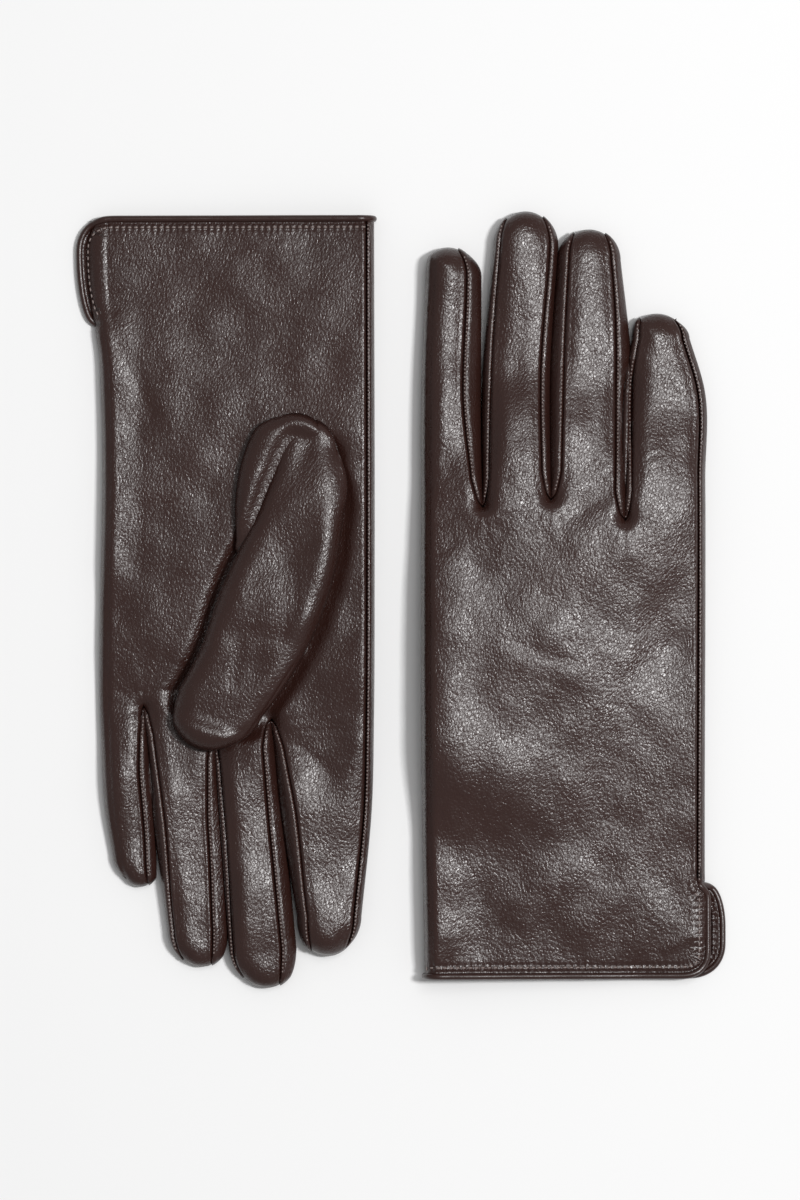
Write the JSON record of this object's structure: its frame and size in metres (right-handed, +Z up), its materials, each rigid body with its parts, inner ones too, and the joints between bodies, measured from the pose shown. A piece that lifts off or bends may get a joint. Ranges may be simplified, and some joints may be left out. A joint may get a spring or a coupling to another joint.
{
  "type": "leather gloves",
  "caption": "Pair of lined smooth-leather dress gloves lying flat, one palm up and one back up, thumbs folded on the palms; they cover and warm the hands.",
  "frame": {"origin": "centre of the bounding box, on the surface that the pair lies on", "axes": "+Z up; +Y along the gloves, the way the right glove's fingers point; the left glove lies on the -X side with its fingers towards -Y"},
  "size_m": [0.214, 0.2586, 0.0178],
  "materials": {
    "leather": "dark brown smooth nappa leather with a fine grain and a soft sheen",
    "binding": "thin strip of the same dark brown leather, a little glossier where it is rolled",
    "lining": "dark brown knitted lining, matt",
    "thread": "dark brown sewing thread with a slight lustre"
  },
  "bodies": {
    "left_hand": {"left_back_panel": "leather", "left_palm_panel": "leather", "left_fourchette_roots": "leather", "left_side_seam_thread": "thread", "left_cuff_binding": "binding", "left_hem_stitches": "thread", "left_hand_lining": "lining", "left_thumb_root": "leather", "left_thumb_gusset": "leather"},
    "left_fingers": {"left_back_fingers": "leather", "left_palm_fingers": "leather", "left_fourchette_index_middle": "leather", "left_fourchette_middle_ring": "leather", "left_fourchette_ring_little": "leather", "left_finger_seam_thread": "thread", "left_finger_lining": "lining"},
    "left_thumb": {"left_thumb": "leather", "left_thumb_lining": "lining"},
    "right_hand": {"right_back_panel": "leather", "right_palm_panel": "leather", "right_fourchette_roots": "leather", "right_side_seam_thread": "thread", "right_cuff_binding": "binding", "right_hem_stitches": "thread", "right_hand_lining": "lining", "right_thumb_root": "leather", "right_thumb_gusset": "leather"},
    "right_fingers": {"right_back_fingers": "leather", "right_palm_fingers": "leather", "right_fourchette_index_middle": "leather", "right_fourchette_middle_ring": "leather", "right_fourchette_ring_little": "leather", "right_finger_seam_thread": "thread", "right_finger_lining": "lining"},
    "right_thumb": {"right_thumb": "leather", "right_thumb_lining": "lining"}
  },
  "joints": [
    {"name": "left_finger_fold", "type": "hinge", "parent": "left_hand", "child": "left_fingers", "pos_m": [-0.055, -0.0538, 0.013], "axis": [-1, 0, 0], "range_deg": [0, 90]},
    {"name": "left_thumb_fold", "type": "hinge", "parent": "left_hand", "child": "left_thumb", "pos_m": [-0.04043, 0.0317, 0.0178], "axis": [-0.9582, 0.2862, 0], "range_deg": [0, 90]},
    {"name": "right_glove_lift", "type": "slide", "parent": "left_hand", "child": "right_hand", "axis": [0, 0, 1], "range_m": [0, 0.12]},
    {"name": "right_finger_fold", "type": "hinge", "parent": "right_hand", "child": "right_fingers", "pos_m": [0.054, 0.0556, 0.0048], "axis": [-1, 0, 0], "range_deg": [0, 90]},
    {"name": "right_thumb_fold", "type": "hinge", "parent": "right_hand", "child": "right_thumb", "pos_m": [0.03943, -0.0299, 0], "axis": [-0.9582, 0.2862, 0], "range_deg": [0, 90]}
  ]
}
